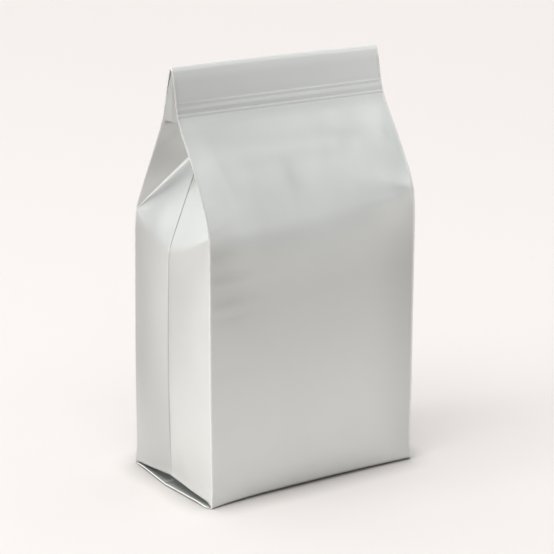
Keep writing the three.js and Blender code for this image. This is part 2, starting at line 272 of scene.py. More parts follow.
TIP_RISE = 0.6              # the points of the underside's flaps curl up by this much
CURLS_WITHIN = 0.3          # over this share of half a gusset
LIP_START = 1.3             # how far their front edges stand out beside the corner
LIP_THICKNESS = 0.6
LIP_ROUND = 0.25            # how proud the middle of their cut edge stands
MOUTH_DEPTH = 3.2           # depth of the open pleat under each gusset
MOUTH_HEIGHT = 4.6          # top of its arch above the floor
MOUTH_START = 0.25          # beside a corner it has this share of its depth
ARCH_START = 1.5            # height of the arch beside the front corners
ARCH_SHARES = (0.35, 0.8)   # where the inner end lies between the heights of the lip and the arch
END_LEAN, ARCH_OUT = 0.4, 0.3       # mid-gusset the inner end leans in and the arch stands out this far
BACK_SHARE = 0.2            # lip and arch start by this share of their values beside the back corners
OPENS_WITHIN = 0.12         # share of half a gusset over which the mouth opens from a corner
NOTCH_DEPTH, NOTCH_WIDTH = 0.8, 0.7     # the flaps leave a notch between them mid-gusset
NOTCH_STAGE, NOTCH_LENGTH = 1.5, 0.35   # along the mouth it is deepest at this stage, and this long
MOUTH_STAGES = 4            # lip, floor, inner end and roof
SEAM_INSET = 7.0            # the underside's seam creases stop this far short of the corners
SEAM_TIP = 2.0              # and its own ends reach this far past the panels' width
FLAT_POWER = 4              # exponent by which the underside lies flat from its rim inward

FOLD_Y = -0.35              # axis of the header's fold, from the middle plane
FOLD_OUTER = 1.2            # radius of the fold outside
FOLD_INNER = 0.45           # and inside, where the flap leaves the back
RIDGE_BOW = 0.4             # the ridge is this much higher in the middle
FLAP_SPREAD = 4.9           # the cut end stands this far behind the fold

# steps across a panel and across half a gusset, and rings in each stage of the bag and of the mouth
PANEL_STEPS, HALF_GUSSET_STEPS = 120, 28
UNDERSIDE_ROWS, WALL_ROWS, TENT_ROWS, UPPER_ROWS = 10, 100, 24, 46
STRIP_ROWS, HEADER_ROWS, FOLD_ROWS, FLAP_ROWS = 33, 13, 11, 14
LIP_ROWS, FLOOR_ROWS, END_ROWS, ROOF_ROWS = 6, 7, 2, 8
# folds that run along a ring and are softened: rings before and after the fold, and passes
TENT_FOOT_SOFTENED = (14, 7, 30)
DIAGONAL_SOFTENED = (12, 12, 36)
MERGE_DECIMALS = 4          # points that are alike to this many decimals are one


# ---------------------------------------------------------------- light and shade painted into the film's colour
#
# 0 is the palest film, painted light, and 1 the darkest, painted shade. The tones below are added up.

FLAT_TONE = 0.53            # of all film, before the others
FILL_CLIMB = 7.0            # the fill stands this much higher at a panel's right edge
# painted shade over the panels below the fill and in bands beside the upright creases
FILL_TONE = 0.20            # a panel where the fill stands behind it
FILL_STARTS, FILL_ENDS = (10.0, 100.0), (88.0, 114.0)
BAND_TONES = (0.38, 0.26)   # bands beside a panel's left and right creases
BAND_WIDTH = 16.0
BAND_FEET = (80.0, -30.0)   # heights where they start, at the panel's left and right edges
BAND_RISE = 45.0            # height over which they come in
BAND_ENDS = (114.0, 126.0)
GUSSET_BAND_TONE = 0.40     # the same beside the gussets' back creases
GUSSET_BAND_WIDTH = 22.0
GUSSET_BAND_FOOT = 15.0
# painted light towards the foot
PANEL_FOOT_LIGHT, GUSSET_FOOT_LIGHT = 0.20, 0.50      # the panels and the gussets' front halves are paler near the foot
FOOT_LIGHT_ENDS = (20.0, 108.0)  # and as dark as the rest from the upper one of these heights
# painted light on the slope and under the ridge, painted shade on the header's left end and on the strip
SLOPE_TONE = -0.10          # the slope between the shoulders and the strip
SLOPE_STARTS, SLOPE_ENDS = (112.0, 135.0), (167.0, 172.0)
HEADER_TILT = 0.24          # the header is darker at its left end than at its right one by this much
TILT_STARTS = (148.0, 172.0)
STRIP_TONE, STRIP_TONE_PLACE, STRIP_TONE_WIDTH = 0.14, 175.5, 4.0   # the strip, its middle and half width
RIDGE_TONE, RIDGE_REACH = -0.3, 6.0         # the header close under its ridge
# painted shade on the gussets' shut ends, on their back halves where they turn inward and tuck, and inside
# the open pleats
END_TONE = 0.5              # the gussets' shut ends
END_STARTS = (-5.0, -2.0)   # from these heights over the strip's lower edge upwards
TENT_TONE = 0.45            # the gussets' back halves where they turn inward
DIAGONAL_TONE, DIAGONAL_RINGS = 0.3, 8      # their diagonal fold, and over how many rings
TUCK_TONE, TUCK_PLACE, TUCK_WIDTH = 0.28, 150.0, 9.0    # the tucked film above it, where and how high
MOUTH_TONE = 0.85           # inside the open pleats at the foot, whatever the others are

# places of the panels with more painted shade (+) or painted light (-) than round about: share of the
# panel from left to right, height, their two half widths, and how much
TONES = [
    (0.91, 125.0, 0.11, 10.0, -0.30),         # soft right shoulder
    (1.00, 133.0, 0.04, 6.0, -0.30),          # and its corner
    (0.95, 146.0, 0.10, 9.0, 0.12),           # the slope above it
    (0.90, 162.0, 0.07, 7.0, -0.25),          # pale patch below the strip's right end
    (0.43, 143.0, 0.06, 8.0, 0.14),           # small dent in the middle
    (0.20, 140.0, 0.20, 11.0, 0.08),          # left half of the slope
    (0.03, 158.0, 0.10, 10.0, -0.16),         # and its upper left corner
]

# wear of the lacquer on folded edges, with a painted highlight along them
WEAR_HIGHLIGHT_WIDTH = 0.45           # how far the rubbed lacquer reaches from a folded edge
RIDGE_RINGS = slice(2, 6)   # rings of the header's fold that are rubbed all along
RIDGE_WEAR_HIGHLIGHT = 0.4
# painted shade in the gussets' middle creases
CREASE_SHADE_WIDTH = 0.38          # half width of the dark line in a gusset's middle crease
WALL_CREASE_SHADE = 0.5            # its depth below the tent, where it comes in over these heights
CREASE_SHADE_STARTS = (3.0, 30.0)


# ---------------------------------------------------------------- small helpers

def smoothstep(value, low, high):
    """0 below low, 1 above high, and 3s^2 - 2s^3 of the share s between."""
    s = np.clip((value - low) / (high - low), 0.0, 1.0)
    return s * s * (3.0 - 2.0 * s)


def mix(a, b, share):
    """a at share 0, b at share 1, and straight between."""
    return a + (b - a) * share


def xyz(x, y, z):
    """Points from three arrays that broadcast together."""
    return np.stack(np.broadcast_arrays(x, y, z), -1)


def hill(value, centre, width):
    """A Gaussian: 1 at the centre and falling with the square of the distance in widths."""
    return np.exp(-((value - centre) / width) ** 2)


def smooth_profile(stations, blur):
    """The line through [height, value] stations, averaged with a Gaussian of the given blur."""
    heights = np.arange(*PROFILE_REACH, PROFILE_STEP)
    sharp = np.interp(heights, *np.array(stations, float).T)
    reach = np.arange(-BLUR_CUT * blur, BLUR_CUT * blur + PROFILE_STEP, PROFILE_STEP)
    weights = np.exp(-0.5 * (reach / blur) ** 2)
    soft = np.convolve(sharp, weights / weights.sum(), mode="same")
    ends = slice(len(reach), -len(reach))
    return lambda z: np.interp(z, heights[ends], soft[ends])


def even(steps):
    """steps + 1 shares from 0 to 1, all the same distance apart."""
    return np.linspace(0.0, 1.0, steps + 1)


def eased(steps, bunching=0.72):
    """steps + 1 shares from 0 to 1, closer together at both ends: s - b sin(2 pi s) / (2 pi)."""
    s = even(steps)
    return s - bunching * np.sin(2 * np.pi * s) / (2 * np.pi)


def linear_colour(code):
    """Linear RGBA of an sRGB hex code: straight near black, and the power 2.4 above."""
    channels = [int(code[i:i + 2], 16) / 255 for i in (1, 3, 5)]
    return [c / 12.92 if c <= 0.04045 else ((c + 0.055) / 1.055) ** 2.4 for c in channels] + [1.0]


# ---------------------------------------------------------------- the bag's surface

class BagShape:
    """The bag's surface as functions of place, in mm.

    u runs across a panel from left (0) to right (1). t runs across half a gusset from its corner crease (0)
    to its middle crease (1). Rings climb the bag in stages, each with its own share from 0 to 1: underside,
    mouth (the bottom fold and the open pleats beside it), wall, tent (where the gussets turn inward), upper
    (the slope up to the strip), header, fold, flap and cut end.
    """

    def __init__(self, sizes):
        self.half_width = sizes.panel_width / MM / 2
        self.shoulders = (sizes.shoulder_left / MM, sizes.shoulder_right / MM)
        self.strip = sizes.strip_height / MM
        self.fold_z = sizes.ridge_height / MM - FOLD_OUTER - RIDGE_BOW
        self.flap_end = sizes.flap_end / MM
        self.wall_bulge = sizes.wall_bulge / MM
        self.lobe_bulge = sizes.lobe_bulge / MM
        self.tip_out = sizes.tip_out / MM
        self.crisp, self.rounder, self.soft = (
            {FRONT: smooth_profile(FRONT_EDGE, blur), BACK: smooth_profile(BACK_EDGE, blur)}
            for blur in (CRISP_BLUR, ROUND_BLUR, SOFT_BLUR))
        self.lift = smooth_profile(RIGHT_LIFT, LIFT_BLUR)
        self.u = eased(PANEL_STEPS)
        self.t = eased(HALF_GUSSET_STEPS)

    # -- panels

    def shoulder(self, u):
        """The shoulder's height: straight from the left one's to the right one's."""
        return mix(*self.shoulders, u)

    def shoulder_of(self, side):
        """The height of a side's shoulder corners."""
        return self.shoulders[int(side > 0)]

    def softness(self, u):
        """Half the height of the turn at the shoulder: a power of sin(pi u)."""
        return SHOULDER_SOFTNESS * np.sin(np.pi * u) ** SOFTNESS_POWER

    def edge(self, half, u, z):
        """Distance of a panel from the middle plane before it bulges: the left profile mixed to the right
        one, each mixed from its crisp line at the crease to a softer and lower one mid-panel."""
        inward = np.clip(np.minimum(u / SOFT_WITHIN[0], (1 - u) / SOFT_WITHIN[1]), 0, 1)
        soft_share = (1 - (1 - inward) ** SOFT_POWER) * (1 - smoothstep(z, *SOFT_ENDS))
        lowered = z + SHOULDER_DROP * (1 - smoothstep(z, *DROP_ENDS))
        lift = self.lift(z)
        left = mix(self.crisp[half](z), self.soft[half](lowered), soft_share)
        right = mix(self.rounder[half](z - lift), self.soft[half](lowered - SOFT_LIFT * lift), soft_share)
        return mix(left, right, u)

    def bulge(self, u, z):
        """How proud the fill makes a panel: soft steps over the height and a crown s^2 (1 - s) on the slope,
        all times sin(pi u)."""
        wall = mix(FOOT_BULGE, self.wall_bulge, smoothstep(z, 0, FULLEST))
        wall = wall - UPPER_EASE * smoothstep(z, FULLEST, EASED)
        on_slope = smoothstep(z, self.shoulder(u) - TURN_REACH, self.shoulder(u) + TURN_REACH)
        height = mix(wall, SLOPE_BULGE, on_slope) * (1 - smoothstep(z, SWELL_EASES, self.strip))
        s = np.clip((z - CROWN_START) / (self.strip - CROWN_START), 0, 1)
        return (height + SLOPE_CROWN * s ** 2 * (1 - s) / CROWN_PEAK) * np.sin(np.pi * u)

    def strip_relief(self, half, u, z):
        """The closing strip's ribs and grooves: a sum of hills over the height."""
        if half == BACK:
            return 0.0
        press = mix(LIGHT_PRESS, 1.0, smoothstep(u, 0, PRESS_WITHIN))
        depth = np.where(z > STRIP_MIDDLE, press, 1.0)
        return depth * sum(height * hill(z, place, width) for place, height, width in STRIP_RIBS)

    def spread(self, z):
        """Half the distance between a panel's creases: soft steps over the height."""
        waist = SIDE_SPREAD * smoothstep(z, *SPREAD_STARTS) * (1 - smoothstep(z, *SPREAD_ENDS))
        return self.half_width + waist + FOOT_SPLAY * (1 - smoothstep(z, 0, SPLAY_HEIGHT))

    def lean(self, u, z):
        """How far the foot of a panel is drawn in under the fill: a parabola over the height."""
        return LEAN_DEPTH * np.sin(np.pi * u) * np.clip(1 - z / LEAN_HEIGHT, 0, 1) ** 2

    def bead(self, distance, z):
        """The creased edge stands proud like a fine bead, with a shallow hollow beside it: two hills."""
        hollow = BEAD_HOLLOW * hill(distance, HOLLOW_PLACE * BEAD_WIDTH, BEAD_WIDTH)
        profile = hill(distance, 0, BEAD_WIDTH) - hollow
        return BEAD_HEIGHT * profile * smoothstep(z, *BEAD_STARTS) * (1 - smoothstep(z, *BEAD_ENDS))

    def folds(self, half, u, z):
        """The sum of the long soft folds, each a Gaussian along and across its own direction."""
        x = (2 * u - 1) * self.half_width
        total = 0.0
        for x0, z0, degrees, long, wide, height in FRONT_FOLDS if half == FRONT else BACK_FOLDS:
            c, s = math.cos(math.radians(degrees)), math.sin(math.radians(degrees))
            along = (x - x0) * s + (z - z0) * c
            across = (x - x0) * c - (z - z0) * s
            total = total + height * hill(along, 0, long) * hill(across, 0, wide)
        inside = smoothstep(u, 0, FOLDS_WITHIN) * smoothstep(1 - u, 0, FOLDS_WITHIN)
        return total * inside * (1 - smoothstep(z, FOLDS_EASE, self.strip))

    def puckers(self, half, u, z):
        """Short ripples that start at the front's left crease and at the one diagonally opposite: d e^(1 - d)
        across the panel and a Gaussian over the height."""
        inward = 2 * self.half_width * (u if half == FRONT else 1 - u)
        total = 0.0
        for z0, reach, wide, height in PUCKERS:
            d = PUCKER_CREST * inward / reach
            total = total + height * d * np.exp(1 - d) * hill(z - PUCKER_SLANT * inward, z0, wide)
        return total

    def panel(self, half, u, z):
        """Points (x, y, z) of a panel: x is mixed between the edges and y is the edge plus the bulge."""
        u, z = np.broadcast_arrays(np.asarray(u, float), z)
        proud = self.bulge(u, z) - self.lean(u, z) + self.strip_relief(half, u, z)
        proud = proud + self.folds(half, u, z) + self.puckers(half, u, z)
        spread = self.spread(z)
        bead = self.bead(np.minimum(u, 1 - u) * 2 * spread, z)
        x = (2 * u - 1) * spread + np.sign(2 * u - 1) * bead
        return xyz(x, half * (self.edge(half, u, z) + proud + bead), z)

    def corner(self, side, half, z):
        """Points of a corner crease, which is the panel's end."""
        return self.panel(half, np.float64(side > 0), z)

    # -- the bottom fold and the open pleats beside it

    def foot(self, u):
        """Lift and roll radius of the bottom edge, from the corners' values to the middle's by a power of
        sin(pi u)."""
        return [mix(mix(left, right, u), middle, np.sin(np.pi * u) ** FOOT_POWER)
                for left, right, middle in (FOOT_LIFTS, FOOT_ROLLS)]

    def roll(self, half, u, stage):
        """A quarter circle from the underside (the mouth's first stage) to the wall (its last)."""
        lift, radius = self.foot(u)
        turn = np.pi / 2 * stage / MOUTH_STAGES
        point = self.panel(half, u, lift + radius * (1 - np.cos(turn)))
        point[..., 1] += half * radius * (np.sin(turn) - 1)
        return point

    def mouth(self, side, half, t, stage):
        """The pleat's open end: stage 0 to 1 climbs the lip, 1 to 2 is the floor inward, 2 to 3 the inner end
        and 3 to 4 the roof outward to the arch. Each stage mixes the outward distance and the height."""
        corner = self.roll(half, np.float64(side > 0), stage)
        opened = smoothstep(t, 0, OPENS_WITHIN)
        start = opened * (1.0 if half == FRONT else BACK_SHARE)
        rim = mix(LIP_START * start, self.tip_out - FOOT_SPLAY, t)
        lip = TIP_RISE * smoothstep(t, 0, CURLS_WITHIN)
        top = lip + LIP_THICKNESS * opened
        arch = mix(ARCH_START * start, MOUTH_HEIGHT, t)
        inner = -MOUTH_DEPTH * mix(MOUTH_START * opened, 1, t)
        out_at = np.concatenate([rim, rim, inner, inner - END_LEAN * t, ARCH_OUT * t])
        ends = [mix(top, arch, share) for share in ARCH_SHARES]
        high_at = np.concatenate([lip, top, *ends, arch])
        low = np.minimum(np.floor(stage).astype(int), MOUTH_STAGES - 1)
        part = stage - low
        picked = low[:, 0]
        out = mix(out_at[picked], out_at[picked + 1], part)
        high = mix(high_at[picked], high_at[picked + 1], part)
        out = out + np.where(stage < 1, LIP_ROUND * np.sin(np.pi * stage), 0) * opened
        notch = hill((1 - t) * HALF_GUSSET, 0, NOTCH_WIDTH) * hill(stage, NOTCH_STAGE, NOTCH_LENGTH)
        high = high - NOTCH_DEPTH * notch
        x = corner[..., 0] + side * out
        y = mix(corner[..., 1], CREASE_Y, t)
        return xyz(x, y, corner[..., 2] * (1 - t) + high)

    def underside(self, rim, share, seam_x):
        """The rim of the bottom fold drawn in to the seam across the middle, and flat by a power of the
        share."""
        x = mix(seam_x, rim[..., 0], share)
        return xyz(x, rim[..., 1] * share, rim[..., 2] * share ** FLAT_POWER)

    # -- walls, tents and pleats

    def tent_base(self, side, t):
        """The height where a gusset turns inward: a power of 1 - t from the middle crease to the corner."""
        lift = self.shoulder_of(side) - self.shoulder_of(LEFT)
        return CREASE_START + lift + (self.shoulder_of(LEFT) - CREASE_START) * (1 - t) ** TENT_SAG

    def gusset_edge(self, t, z):
        """Offset outward beside a gusset's corner crease: the bead's profile less the corner's own."""
        return self.bead(t * HALF_GUSSET, z) - self.bead(0.0, z)

    def wall(self, side, half, t, share):
        """Half a gusset's wall: a pillow, sin(pi t^skew), beside the groove of the middle crease."""
        foot = self.mouth(side, half, t, np.full_like(share, MOUTH_STAGES))[..., 2]
        z = mix(foot, self.tent_base(side, t), share)
        corner = self.corner(side, half, z)
        swell = np.sin(np.pi * np.clip(share, SWELL_HELD, 1 - SWELL_HELD)) ** SWELL_POWER
        pillow = self.lobe_bulge * np.sin(np.pi * t ** PILLOW_SKEW[half])
        groove = CREASE_GROOVE * hill((1 - t) * HALF_GUSSET, 0, CREASE_WIDTH)
        out = (VALLEY_OUT * t ** 2 + pillow - groove) * swell + self.gusset_edge(t, z)
        return xyz(corner[..., 0] + side * out, mix(corner[..., 1], CREASE_Y, t), z)

    def diagonal(self, side, half, t):
        """The straight fold from the shoulder corner to the tucked gusset's apex."""
        shoulder = self.corner(side, half, np.array([[self.shoulder_of(side)]]))
        apex_z = self.shoulder_of(side) + APEX_RISE
        apex = np.array([side * (self.half_width - APEX_INWARD), CREASE_Y, apex_z])
        return mix(shoulder, apex, t[..., None])

    def tent(self, side, half, t, share):
        """The gusset where it turns inward below its diagonal folds, swelled by sin(pi t) sin(pi share)."""
        base = self.wall(side, half, t, np.ones_like(share))
        point = mix(base, self.diagonal(side, half, t), share[..., None])
        point[..., 0] += side * TENT_SWELL[half] * np.sin(np.pi * t) * np.sin(np.pi * share)
        return point

    def pleat(self, side, half, t, z, depth):
        """The tucked gusset: from the corner crease inward by the depth at the middle crease."""
        corner = self.corner(side, half, z)
        middle = (self.corner(side, FRONT, z)[..., 1] + self.corner(side, BACK, z)[..., 1]) / 2
        x = corner[..., 0] + side * (self.gusset_edge(t, z) - depth * t)
        return xyz(x, mix(corner[..., 1], middle, t), z)

    def header_end(self, side, half, t, z):
        """The shut end of the strip and the header: a shallow hollow that fades by a soft step."""
        fades = 1 - smoothstep(z, self.strip + HOLLOW_EASES, PLEAT_TOP)
        return self.pleat(side, half, t, z, END_RECESS * fades)

    def upper(self, side, half, t, share):
        """The tucked gusset above its diagonal fold, mixed to the pleat at the closing strip. Towards the
        corner it keeps to the crease's own line, by (1 - t)^2, and a soft step shuts it below the strip."""
        low, high = self.shoulder_of(side), self.strip
        top = self.pleat(side, half, t, np.full_like(share, high), PLEAT_DEPTH)
        point = mix(self.diagonal(side, half, t), top, share[..., None])
        height = mix(low, high, share)
        ends = [self.corner(side, half, np.full_like(share, end)) for end in (low, high)]
        off_line = self.corner(side, half, height) - mix(*ends, share[..., None])
        point += off_line * ((1 - t) ** 2)[..., None]
        point[..., 0] += side * self.gusset_edge(t, height) * (1 - share)
        shut = smoothstep(share, *SHUTS_WITHIN)[..., None]
        return mix(point, self.header_end(side, half, t, height), shut)

    # -- the folded header

    def bundle(self, half, u, kind, share):
        """The header's fold, a half circle, and the straight flap behind it: the front sheet runs outside the
        turn and the back sheet inside. The ridge bows up by sin(pi u)."""
        radius = {FRONT: FOLD_OUTER, BACK: FOLD_INNER, CORE: (FOLD_OUTER + FOLD_INNER) / 2}[half]
        if kind == "fold":
            y = FOLD_Y - radius * np.cos(np.pi * share)
            z = self.fold_z + radius * np.sin(np.pi * share)
        else:
            y = FOLD_Y + radius + FLAP_SPREAD * share
            z = mix(self.fold_z, self.flap_end, share)
        x = (2 * u - 1) * self.half_width
        return xyz(x, y, z + RIDGE_BOW * np.sin(np.pi * u))

    # -- rings

    def panel_rows(self, stage, half, u, s):
        """A stage's rows across a panel: for each share s, between the heights where the stage starts and
        ends."""
        shoulder, softness = self.shoulder(u), self.softness(u)
        if stage == "underside":
            rim = self.roll(half, u, np.zeros_like(s))
            return self.underside(rim, s, (2 * u - 1) * (self.half_width - SEAM_INSET))
        if stage == "mouth":
            return self.roll(half, u, s)
        if stage in ("fold", "flap"):
            return self.bundle(half, u, stage, s)
        if stage == "cut":
            whole, line = (self.bundle(each, u, "flap", np.ones_like(s)) for each in (half, CORE))
            return mix(whole, line, s[..., None])
        heights = {
            "wall": mix(sum(self.foot(u)), shoulder - softness, s),
            "tent": shoulder + softness * mix(-1, 1, s),
            "upper": mix(shoulder + softness, self.strip, s),
            "header": mix(self.strip, self.fold_z, s) + 0 * u,
        }
        return self.panel(half, u, heights[stage])

    def gusset_rows(self, stage, side, half, t, s):
        """A stage's rows across half a gusset. The folded header has no gusset, so all its points are one."""
        if stage == "underside":
            rim = self.mouth(side, half, t, np.zeros_like(s))
            inset = self.half_width - SEAM_INSET
            return self.underside(rim, s, side * (inset + (SEAM_INSET + SEAM_TIP) * t))
        if stage == "mouth":
            return self.mouth(side, half, t, s)
        if stage == "wall":
            return self.wall(side, half, t, s)
        if stage == "tent":
            return self.tent(side, half, t, s)
        if stage == "upper":
            return self.upper(side, half, t, s)
        if stage == "header":
            return self.header_end(side, half, t, mix(self.strip, self.fold_z, s))
        kind, share = ("flap", np.ones_like(s)) if stage == "cut" else (stage, s)
        middle = self.bundle(CORE, np.float64(side > 0), kind, share)
        return np.repeat(middle, t.shape[1], axis=1)

    def block(self, stage, shares):
        """A stage's rings: for each share, the front, right gusset, back and left gusset in turn."""
        s = np.asarray(shares, float)[:, None]
        u, t = self.u[None, :], self.t[None, :]
        panels = {half: self.panel_rows(stage, half, u, s) for half in (FRONT, BACK)}
        gussets = {(side, half): self.gusset_rows(stage, side, half, t, s)
                   for side in (LEFT, RIGHT) for half in (FRONT, BACK)}
        return np.concatenate([
            panels[FRONT],
            gussets[RIGHT, FRONT][:, 1:], gussets[RIGHT, BACK][:, 1:-1][:, ::-1],
            panels[BACK][:, ::-1],
            gussets[LEFT, BACK][:, 1:], gussets[LEFT, FRONT][:, 1:-1][:, ::-1],
        ], axis=1)

    def rings(self):
        """All rings from the underside's seam to the flap's cut end, and the name of each ring's stage."""
        strip_end = (STRIP_END - self.strip) / (self.fold_z - self.strip)
        lip_and_floor = [even(LIP_ROWS - 1), 1 + eased(FLOOR_ROWS)[1:]]
        end_and_roof = [2 + even(END_ROWS)[1:], 3 + eased(ROOF_ROWS)[1:]]
        strip_rows = np.linspace(0, strip_end, STRIP_ROWS + 1)[1:]
        stages = [
            ("underside", (1 - (1 - even(UNDERSIDE_ROWS)) ** 2)[:-1]),
            ("mouth", np.concatenate(lip_and_floor + end_and_roof)),
            ("wall", eased(WALL_ROWS, bunching=0.5)[1:]),
            ("tent", eased(TENT_ROWS)[1:]),
            ("upper", eased(UPPER_ROWS, bunching=0.5)[1:]),
            ("header", np.concatenate([strip_rows, mix(strip_end, 1, even(HEADER_ROWS))[1:]])),
            ("fold", even(FOLD_ROWS)[1:]),
            ("flap", eased(FLAP_ROWS, bunching=0.4)[1:]),
            ("cut", np.array([1.0])),
        ]
        blocks = [self.block(name, shares) for name, shares in stages]
        names = np.repeat([name for name, _ in stages], [len(block) for block in blocks])
        return np.concatenate(blocks), names

    # -- painted light and shade, painted crease shade, and wear with a painted highlight, at each point of the rings

    def columns(self, panel, front_half, back_half):
        """One value for each point of a ring, from values over u and over t, in the order of block()."""
        panel = panel + 0 * self.u
        front_half = front_half + 0 * self.t
        back_half = back_half + 0 * self.t
        return np.concatenate([
            panel,
            front_half[1:], back_half[1:-1][::-1],
            panel[::-1],
            back_half[1:], front_half[1:-1][::-1],
        ])

    def crease_distance(self):
        """How far each point of a ring lies from the nearest corner crease, in mm."""
        across = np.minimum(self.u, 1 - self.u) * 2 * self.half_width
        return self.columns(across, self.t * HALF_GUSSET, self.t * HALF_GUSSET)

    def painted_wall_shading(self, z):
        """Painted shade: hills over the distance from the upright creases and a soft step over the fill, less
        painted light by a soft step towards the foot."""
        panel, front_half, back_half = self.columns(1, 0, 0), self.columns(0, 1, 0), self.columns(0, 0, 1)
        across = self.columns(self.u, 0, 0)
        level = z - FILL_CLIMB * across
        distance = self.crease_distance()
        foot = self.columns(mix(*BAND_FEET, self.u), GUSSET_BAND_FOOT, GUSSET_BAND_FOOT)
        band = mix(*BAND_TONES, across) * panel * hill(distance, 0, BAND_WIDTH)
        band = band + GUSSET_BAND_TONE * back_half * hill(distance, 0, GUSSET_BAND_WIDTH)
        band = band * smoothstep(z, foot, foot + BAND_RISE) * (1 - smoothstep(level, *BAND_ENDS))
        fill = FILL_TONE * panel * smoothstep(z, *FILL_STARTS) * (1 - smoothstep(level, *FILL_ENDS))
        # painted light: the panels and the gussets' front halves paler towards the foot
        slack = (PANEL_FOOT_LIGHT * panel + GUSSET_FOOT_LIGHT * front_half) * (1 - smoothstep(z, *FOOT_LIGHT_ENDS))
        return band + fill - slack

    def slope_tone(self, z):
        """Painted light and shade on the slope, the strip and the header: soft steps over the height and a
        hill for each patch.
        """
        panel, across = self.columns(1, 0, 0), self.columns(self.u, 0, 0)
        level = z - FILL_CLIMB * across
        slope = SLOPE_TONE * smoothstep(level, *SLOPE_STARTS) * (1 - smoothstep(z, *SLOPE_ENDS))
        tilt = HEADER_TILT * (0.5 - across) * smoothstep(z, *TILT_STARTS)
        strip = STRIP_TONE * hill(z, STRIP_TONE_PLACE, STRIP_TONE_WIDTH)
        ridge = RIDGE_TONE * smoothstep(z, self.fold_z - RIDGE_REACH, self.fold_z)
        patches = sum(tone * hill(across, u0, wide) * hill(z, z0, high)
                      for u0, z0, wide, high, tone in TONES)
        ends = END_TONE * (1 - panel) * smoothstep(z - self.strip, *END_STARTS)
        return panel * (slope + tilt + strip + ridge + patches) + ends

    def tuck_tone(self, names, z):
        """Painted shade on the gussets' back halves: the square of the way up the tent, a hill over the rings
        at the diagonal fold, and a hill over the height above it."""
        row = np.arange(len(names))
        tent = np.flatnonzero(names == "tent")
        climb = np.interp(row, tent[[0, -1]], [0.0, 1.0], right=0.0) ** 2
        turning = TENT_TONE * climb + DIAGONAL_TONE * hill(row, tent[-1], DIAGONAL_RINGS)
        above = TUCK_TONE * (names == "upper")[:, None] * hill(z, TUCK_PLACE, TUCK_WIDTH)
        return self.columns(0, 0, 1) * (turning[:, None] + above)

    def painted_light_and_shade(self, names, z):
        """The light and shade painted into the film's colour: a flat tone plus the painted shading of the
        walls, the slope and the tucked gussets. Inside the open pleats it is one dark painted shade."""
        tone = FLAT_TONE + self.painted_wall_shading(z) + self.slope_tone(z) + self.tuck_tone(names, z)
        inside = np.flatnonzero(names == "mouth")[LIP_ROWS:]
        tone[inside] = mix(MOUTH_TONE, tone[inside], self.columns(1, 0, 0))
        return tone

    def crease_shade(self, names, z):
        """Painted shade in the gussets' middle creases, a hill across them: full in the tent and fainter down
        the wall below it."""
        line = hill((1 - self.t) * HALF_GUSSET, 0, CREASE_SHADE_WIDTH)
        tent, wall = (names == "tent")[:, None], (names == "wall")[:, None]
        depth = 1.0 * tent + WALL_CREASE_SHADE * wall * smoothstep(z, *CREASE_SHADE_STARTS)
        return depth * self.columns(0, line, line)

    def wear_and_highlight(self, names):
        """1 along the corner creases, a hill across them, and on the rim of the bottom lip, where the lacquer
        is worn and a highlight is painted. Along the header's ridge it is less."""
        worn = ~np.isin(names, ["underside", "cut"])[:, None] * hill(self.crease_distance(), 0, WEAR_HIGHLIGHT_WIDTH)
        lip = np.flatnonzero(names == "mouth")[1:LIP_ROWS]
        worn[lip] = np.maximum(worn[lip], self.columns(0, 1, 1))
        ridge = np.flatnonzero(names == "fold")[RIDGE_RINGS]
        worn[ridge] = np.maximum(worn[ridge], RIDGE_WEAR_HIGHLIGHT)
        return worn


def soften_fold(rings, fold, before, after, passes):
    """Rounds a fold along a ring: each pass makes the rings near it half themselves and a quarter each
    neighbour."""
    rows = np.arange(fold - before, fold + after + 1)
    for _ in range(passes):
        rings[rows] = (rings[rows - 1] + 2 * rings[rows] + rings[rows + 1]) / 4


def skin_mesh(name, rings):
    """The mesh of the triangles between neighbouring rings, and which ring point each of its vertices is.
    Points in one place are merged and empty triangles dropped."""
    rows, count, _ = rings.shape
    points, first, place = np.unique(np.round(rings.reshape(-1, 3), MERGE_DECIMALS), axis=0,
                                     return_index=True, return_inverse=True)
    place = place.reshape(rows, count)
    ahead = np.roll(place, -1, axis=1)
    a, b, c, d = place[:-1], ahead[:-1], ahead[1:], place[1:]
    faces = np.concatenate([np.stack([a, b, c], -1).reshape(-1, 3), np.stack([a, c, d], -1).reshape(-1, 3)])
    real = (faces[:, 0] != faces[:, 1]) & (faces[:, 1] != faces[:, 2]) & (faces[:, 2] != faces[:, 0])
    faces = faces[real]
    mesh = bpy.data.meshes.new(name)
    mesh.vertices.add(len(points))
    mesh.vertices.foreach_set("co", (points * MM).astype(np.float32).ravel())
    mesh.loops.add(faces.size)
    mesh.loops.foreach_set("vertex_index", faces.astype(np.int32).ravel())
    mesh.polygons.add(len(faces))
    mesh.polygons.foreach_set("loop_start", np.arange(0, faces.size, 3, dtype=np.int32))
    mesh.update(calc_edges=True)
    mesh.polygons.foreach_set("use_smooth", np.ones(len(faces), bool))
    mesh.validate()
    return mesh, first


# ---------------------------------------------------------------- materials
#
# Sizes of the film's patterns, in mm, and how much each changes.

